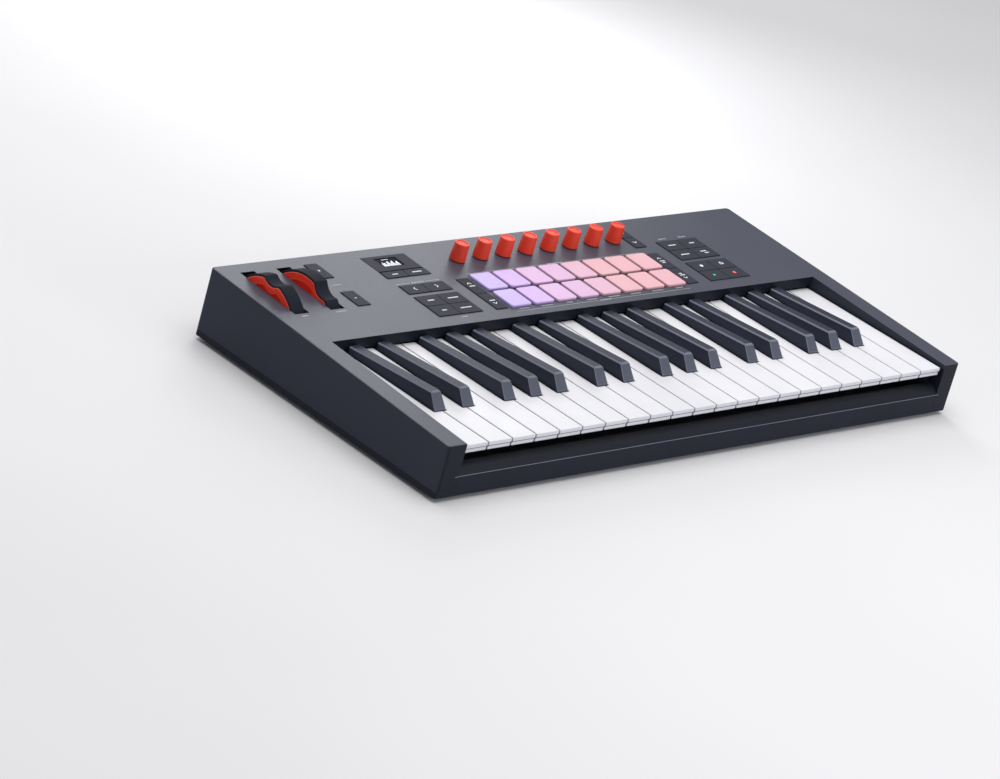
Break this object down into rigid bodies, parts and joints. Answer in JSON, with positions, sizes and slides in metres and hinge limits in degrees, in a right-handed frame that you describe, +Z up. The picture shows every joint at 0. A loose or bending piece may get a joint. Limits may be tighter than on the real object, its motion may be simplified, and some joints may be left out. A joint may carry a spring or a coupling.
{
  "type": "midi keyboard",
  "caption": "Desktop controller keyboard: sprung piano keys in a sloping-panel case with two wheels, a row of knobs, a lit pad grid, a small display and button blocks.",
  "frame": {"origin": "under the middle of the case, on the surface the feet stand on", "axes": "+X to the player's right along the keys, +Y away from the player, +Z up"},
  "size_m": [0.555, 0.258, 0.0693],
  "materials": {
    "case_grey": "fine moulded texture, satin",
    "case_dark": "fine moulded texture, satin",
    "inner_black": "moulded, matt",
    "contact_silicone": "soft silicone",
    "circuit_board": "solder mask",
    "socket_black": "moulded, satin",
    "display_glass": "clear window over a dark display",
    "pad_silicone": "translucent silicone, lit from below",
    "foot_rubber": "matt",
    "screw_steel": "zinc plated",
    "key_white": "semi-gloss moulded",
    "key_black": "fine satin",
    "knob_red": "soft satin",
    "wheel_red": "two-shot: satin red core under a dark rubber tread",
    "button_slate": "soft matt"
  },
  "bodies": {
    "case": {"top_case": "case_grey", "bottom_case": "case_dark", "keybed_frame": "inner_black", "key_contact_strip": "contact_silicone", "main_board": "circuit_board", "rear_sockets": "socket_black", "display_module": "display_glass", "pad_mat": "pad_silicone", "rubber_feet": "foot_rubber", "case_screws": "screw_steel"},
    "key_c2": {"key_c2": "key_white"},
    "key_c_sharp2": {"key_c_sharp2": "key_black"},
    "key_d2": {"key_d2": "key_white"},
    "key_d_sharp2": {"key_d_sharp2": "key_black"},
    "key_e2": {"key_e2": "key_white"},
    "key_f2": {"key_f2": "key_white"},
    "key_f_sharp2": {"key_f_sharp2": "key_black"},
    "key_g2": {"key_g2": "key_white"},
    "key_g_sharp2": {"key_g_sharp2": "key_black"},
    "key_a2": {"key_a2": "key_white"},
    "key_a_sharp2": {"key_a_sharp2": "key_black"},
    "key_b2": {"key_b2": "key_white"},
    "key_c3": {"key_c3": "key_white"},
    "key_c_sharp3": {"key_c_sharp3": "key_black"},
    "key_d3": {"key_d3": "key_white"},
    "key_d_sharp3": {"key_d_sharp3": "key_black"},
    "key_e3": {"key_e3": "key_white"},
    "key_f3": {"key_f3": "key_white"},
    "key_f_sharp3": {"key_f_sharp3": "key_black"},
    "key_g3": {"key_g3": "key_white"},
    "key_g_sharp3": {"key_g_sharp3": "key_black"},
    "key_a3": {"key_a3": "key_white"},
    "key_a_sharp3": {"key_a_sharp3": "key_black"},
    "key_b3": {"key_b3": "key_white"},
    "key_c4": {"key_c4": "key_white"},
    "key_c_sharp4": {"key_c_sharp4": "key_black"},
    "key_d4": {"key_d4": "key_white"},
    "key_d_sharp4": {"key_d_sharp4": "key_black"},
    "key_e4": {"key_e4": "key_white"},
    "key_f4": {"key_f4": "key_white"},
    "key_f_sharp4": {"key_f_sharp4": "key_black"},
    "key_g4": {"key_g4": "key_white"},
    "key_g_sharp4": {"key_g_sharp4": "key_black"},
    "key_a4": {"key_a4": "key_white"},
    "key_a_sharp4": {"key_a_sharp4": "key_black"},
    "key_b4": {"key_b4": "key_white"},
    "key_c5": {"key_c5": "key_white"},
    "pitch_wheel": {"pitch_wheel": "wheel_red"},
    "mod_wheel": {"mod_wheel": "wheel_red"},
    "knob_1": {"knob_1": "knob_red"},
    "knob_2": {"knob_2": "knob_red"},
    "knob_3": {"knob_3": "knob_red"},
    "knob_4": {"knob_4": "knob_red"},
    "knob_5": {"knob_5": "knob_red"},
    "knob_6": {"knob_6": "knob_red"},
    "knob_7": {"knob_7": "knob_red"},
    "knob_8": {"knob_8": "knob_red"},
    "octave_buttons": {"octave_buttons": "button_slate"},
    "left_buttons": {"left_buttons": "button_slate"},
    "right_buttons": {"right_buttons": "button_slate"}
  },
  "joints": [
    {"name": "key_c2_press", "type": "hinge", "parent": "case", "child": "key_c2", "pos_m": [0, 0.04, 0.031], "axis": [1, 0, 0], "range_deg": [0, 3.3], "stiffness_Nm_per_rad": 0.9, "springref_deg": -6.3},
    {"name": "key_c_sharp2_press", "type": "hinge", "parent": "case", "child": "key_c_sharp2", "pos_m": [0, 0.04, 0.031], "axis": [1, 0, 0], "range_deg": [0, 3.3], "stiffness_Nm_per_rad": 0.9, "springref_deg": -6.3},
    {"name": "key_d2_press", "type": "hinge", "parent": "case", "child": "key_d2", "pos_m": [0, 0.04, 0.031], "axis": [1, 0, 0], "range_deg": [0, 3.3], "stiffness_Nm_per_rad": 0.9, "springref_deg": -6.3},
    {"name": "key_d_sharp2_press", "type": "hinge", "parent": "case", "child": "key_d_sharp2", "pos_m": [0, 0.04, 0.031], "axis": [1, 0, 0], "range_deg": [0, 3.3], "stiffness_Nm_per_rad": 0.9, "springref_deg": -6.3},
    {"name": "key_e2_press", "type": "hinge", "parent": "case", "child": "key_e2", "pos_m": [0, 0.04, 0.031], "axis": [1, 0, 0], "range_deg": [0, 3.3], "stiffness_Nm_per_rad": 0.9, "springref_deg": -6.3},
    {"name": "key_f2_press", "type": "hinge", "parent": "case", "child": "key_f2", "pos_m": [0, 0.04, 0.031], "axis": [1, 0, 0], "range_deg": [0, 3.3], "stiffness_Nm_per_rad": 0.9, "springref_deg": -6.3},
    {"name": "key_f_sharp2_press", "type": "hinge", "parent": "case", "child": "key_f_sharp2", "pos_m": [0, 0.04, 0.031], "axis": [1, 0, 0], "range_deg": [0, 3.3], "stiffness_Nm_per_rad": 0.9, "springref_deg": -6.3},
    {"name": "key_g2_press", "type": "hinge", "parent": "case", "child": "key_g2", "pos_m": [0, 0.04, 0.031], "axis": [1, 0, 0], "range_deg": [0, 3.3], "stiffness_Nm_per_rad": 0.9, "springref_deg": -6.3},
    {"name": "key_g_sharp2_press", "type": "hinge", "parent": "case", "child": "key_g_sharp2", "pos_m": [0, 0.04, 0.031], "axis": [1, 0, 0], "range_deg": [0, 3.3], "stiffness_Nm_per_rad": 0.9, "springref_deg": -6.3},
    {"name": "key_a2_press", "type": "hinge", "parent": "case", "child": "key_a2", "pos_m": [0, 0.04, 0.031], "axis": [1, 0, 0], "range_deg": [0, 3.3], "stiffness_Nm_per_rad": 0.9, "springref_deg": -6.3},
    {"name": "key_a_sharp2_press", "type": "hinge", "parent": "case", "child": "key_a_sharp2", "pos_m": [0, 0.04, 0.031], "axis": [1, 0, 0], "range_deg": [0, 3.3], "stiffness_Nm_per_rad": 0.9, "springref_deg": -6.3},
    {"name": "key_b2_press", "type": "hinge", "parent": "case", "child": "key_b2", "pos_m": [0, 0.04, 0.031], "axis": [1, 0, 0], "range_deg": [0, 3.3], "stiffness_Nm_per_rad": 0.9, "springref_deg": -6.3},
    {"name": "key_c3_press", "type": "hinge", "parent": "case", "child": "key_c3", "pos_m": [0, 0.04, 0.031], "axis": [1, 0, 0], "range_deg": [0, 3.3], "stiffness_Nm_per_rad": 0.9, "springref_deg": -6.3},
    {"name": "key_c_sharp3_press", "type": "hinge", "parent": "case", "child": "key_c_sharp3", "pos_m": [0, 0.04, 0.031], "axis": [1, 0, 0], "range_deg": [0, 3.3], "stiffness_Nm_per_rad": 0.9, "springref_deg": -6.3},
    {"name": "key_d3_press", "type": "hinge", "parent": "case", "child": "key_d3", "pos_m": [0, 0.04, 0.031], "axis": [1, 0, 0], "range_deg": [0, 3.3], "stiffness_Nm_per_rad": 0.9, "springref_deg": -6.3},
    {"name": "key_d_sharp3_press", "type": "hinge", "parent": "case", "child": "key_d_sharp3", "pos_m": [0, 0.04, 0.031], "axis": [1, 0, 0], "range_deg": [0, 3.3], "stiffness_Nm_per_rad": 0.9, "springref_deg": -6.3},
    {"name": "key_e3_press", "type": "hinge", "parent": "case", "child": "key_e3", "pos_m": [0, 0.04, 0.031], "axis": [1, 0, 0], "range_deg": [0, 3.3], "stiffness_Nm_per_rad": 0.9, "springref_deg": -6.3},
    {"name": "key_f3_press", "type": "hinge", "parent": "case", "child": "key_f3", "pos_m": [0, 0.04, 0.031], "axis": [1, 0, 0], "range_deg": [0, 3.3], "stiffness_Nm_per_rad": 0.9, "springref_deg": -6.3},
    {"name": "key_f_sharp3_press", "type": "hinge", "parent": "case", "child": "key_f_sharp3", "pos_m": [0, 0.04, 0.031], "axis": [1, 0, 0], "range_deg": [0, 3.3], "stiffness_Nm_per_rad": 0.9, "springref_deg": -6.3},
    {"name": "key_g3_press", "type": "hinge", "parent": "case", "child": "key_g3", "pos_m": [0, 0.04, 0.031], "axis": [1, 0, 0], "range_deg": [0, 3.3], "stiffness_Nm_per_rad": 0.9, "springref_deg": -6.3},
    {"name": "key_g_sharp3_press", "type": "hinge", "parent": "case", "child": "key_g_sharp3", "pos_m": [0, 0.04, 0.031], "axis": [1, 0, 0], "range_deg": [0, 3.3], "stiffness_Nm_per_rad": 0.9, "springref_deg": -6.3},
    {"name": "key_a3_press", "type": "hinge", "parent": "case", "child": "key_a3", "pos_m": [0, 0.04, 0.031], "axis": [1, 0, 0], "range_deg": [0, 3.3], "stiffness_Nm_per_rad": 0.9, "springref_deg": -6.3},
    {"name": "key_a_sharp3_press", "type": "hinge", "parent": "case", "child": "key_a_sharp3", "pos_m": [0, 0.04, 0.031], "axis": [1, 0, 0], "range_deg": [0, 3.3], "stiffness_Nm_per_rad": 0.9, "springref_deg": -6.3},
    {"name": "key_b3_press", "type": "hinge", "parent": "case", "child": "key_b3", "pos_m": [0, 0.04, 0.031], "axis": [1, 0, 0], "range_deg": [0, 3.3], "stiffness_Nm_per_rad": 0.9, "springref_deg": -6.3},
    {"name": "key_c4_press", "type": "hinge", "parent": "case", "child": "key_c4", "pos_m": [0, 0.04, 0.031], "axis": [1, 0, 0], "range_deg": [0, 3.3], "stiffness_Nm_per_rad": 0.9, "springref_deg": -6.3},
    {"name": "key_c_sharp4_press", "type": "hinge", "parent": "case", "child": "key_c_sharp4", "pos_m": [0, 0.04, 0.031], "axis": [1, 0, 0], "range_deg": [0, 3.3], "stiffness_Nm_per_rad": 0.9, "springref_deg": -6.3},
    {"name": "key_d4_press", "type": "hinge", "parent": "case", "child": "key_d4", "pos_m": [0, 0.04, 0.031], "axis": [1, 0, 0], "range_deg": [0, 3.3], "stiffness_Nm_per_rad": 0.9, "springref_deg": -6.3},
    {"name": "key_d_sharp4_press", "type": "hinge", "parent": "case", "child": "key_d_sharp4", "pos_m": [0, 0.04, 0.031], "axis": [1, 0, 0], "range_deg": [0, 3.3], "stiffness_Nm_per_rad": 0.9, "springref_deg": -6.3},
    {"name": "key_e4_press", "type": "hinge", "parent": "case", "child": "key_e4", "pos_m": [0, 0.04, 0.031], "axis": [1, 0, 0], "range_deg": [0, 3.3], "stiffness_Nm_per_rad": 0.9, "springref_deg": -6.3},
    {"name": "key_f4_press", "type": "hinge", "parent": "case", "child": "key_f4", "pos_m": [0, 0.04, 0.031], "axis": [1, 0, 0], "range_deg": [0, 3.3], "stiffness_Nm_per_rad": 0.9, "springref_deg": -6.3},
    {"name": "key_f_sharp4_press", "type": "hinge", "parent": "case", "child": "key_f_sharp4", "pos_m": [0, 0.04, 0.031], "axis": [1, 0, 0], "range_deg": [0, 3.3], "stiffness_Nm_per_rad": 0.9, "springref_deg": -6.3},
    {"name": "key_g4_press", "type": "hinge", "parent": "case", "child": "key_g4", "pos_m": [0, 0.04, 0.031], "axis": [1, 0, 0], "range_deg": [0, 3.3], "stiffness_Nm_per_rad": 0.9, "springref_deg": -6.3},
    {"name": "key_g_sharp4_press", "type": "hinge", "parent": "case", "child": "key_g_sharp4", "pos_m": [0, 0.04, 0.031], "axis": [1, 0, 0], "range_deg": [0, 3.3], "stiffness_Nm_per_rad": 0.9, "springref_deg": -6.3},
    {"name": "key_a4_press", "type": "hinge", "parent": "case", "child": "key_a4", "pos_m": [0, 0.04, 0.031], "axis": [1, 0, 0], "range_deg": [0, 3.3], "stiffness_Nm_per_rad": 0.9, "springref_deg": -6.3},
    {"name": "key_a_sharp4_press", "type": "hinge", "parent": "case", "child": "key_a_sharp4", "pos_m": [0, 0.04, 0.031], "axis": [1, 0, 0], "range_deg": [0, 3.3], "stiffness_Nm_per_rad": 0.9, "springref_deg": -6.3},
    {"name": "key_b4_press", "type": "hinge", "parent": "case", "child": "key_b4", "pos_m": [0, 0.04, 0.031], "axis": [1, 0, 0], "range_deg": [0, 3.3], "stiffness_Nm_per_rad": 0.9, "springref_deg": -6.3},
    {"name": "key_c5_press", "type": "hinge", "parent": "case", "child": "key_c5", "pos_m": [0, 0.04, 0.031], "axis": [1, 0, 0], "range_deg": [0, 3.3], "stiffness_Nm_per_rad": 0.9, "springref_deg": -6.3},
    {"name": "pitch_wheel_turn", "type": "hinge", "parent": "case", "child": "pitch_wheel", "pos_m": [-0.253, 0.08711, 0.02894], "axis": [1, 0, 0], "range_deg": [-35, 35], "stiffness_Nm_per_rad": 0.06},
    {"name": "mod_wheel_turn", "type": "hinge", "parent": "case", "child": "mod_wheel", "pos_m": [-0.2184, 0.08711, 0.02894], "axis": [-1, 0, 0], "range_deg": [0, 52]},
    {"name": "knob_1_turn", "type": "hinge", "parent": "case", "child": "knob_1", "pos_m": [-0.05668, 0.09998, 0.05459], "axis": [0, -0.0484, 0.9988], "range_deg": [-150, 150]},
    {"name": "knob_2_turn", "type": "hinge", "parent": "case", "child": "knob_2", "pos_m": [-0.03243, 0.09998, 0.05459], "axis": [0, -0.0484, 0.9988], "range_deg": [-150, 150]},
    {"name": "knob_3_turn", "type": "hinge", "parent": "case", "child": "knob_3", "pos_m": [-0.00817, 0.09998, 0.05459], "axis": [0, -0.0484, 0.9988], "range_deg": [-150, 150]},
    {"name": "knob_4_turn", "type": "hinge", "parent": "case", "child": "knob_4", "pos_m": [0.01607, 0.09998, 0.05459], "axis": [0, -0.0484, 0.9988], "range_deg": [-150, 150]},
    {"name": "knob_5_turn", "type": "hinge", "parent": "case", "child": "knob_5", "pos_m": [0.04032, 0.09998, 0.05459], "axis": [0, -0.0484, 0.9988], "range_deg": [-150, 150]},
    {"name": "knob_6_turn", "type": "hinge", "parent": "case", "child": "knob_6", "pos_m": [0.06457, 0.09998, 0.05459], "axis": [0, -0.0484, 0.9988], "range_deg": [-150, 150]},
    {"name": "knob_7_turn", "type": "hinge", "parent": "case", "child": "knob_7", "pos_m": [0.08883, 0.09998, 0.05459], "axis": [0, -0.0484, 0.9988], "range_deg": [-150, 150]},
    {"name": "knob_8_turn", "type": "hinge", "parent": "case", "child": "knob_8", "pos_m": [0.11307, 0.09998, 0.05459], "axis": [0, -0.0484, 0.9988], "range_deg": [-150, 150]},
    {"name": "octave_buttons_press", "type": "slide", "parent": "case", "child": "octave_buttons", "axis": [0, 0.0484, -0.9988], "range_m": [0, 0.0008], "stiffness_N_per_m": 800, "springref_m": -0.0012},
    {"name": "left_buttons_press", "type": "slide", "parent": "case", "child": "left_buttons", "axis": [0, 0.0484, -0.9988], "range_m": [0, 0.0008], "stiffness_N_per_m": 800, "springref_m": -0.0012},
    {"name": "right_buttons_press", "type": "slide", "parent": "case", "child": "right_buttons", "axis": [0, 0.0484, -0.9988], "range_m": [0, 0.0008], "stiffness_N_per_m": 800, "springref_m": -0.0012}
  ]
}
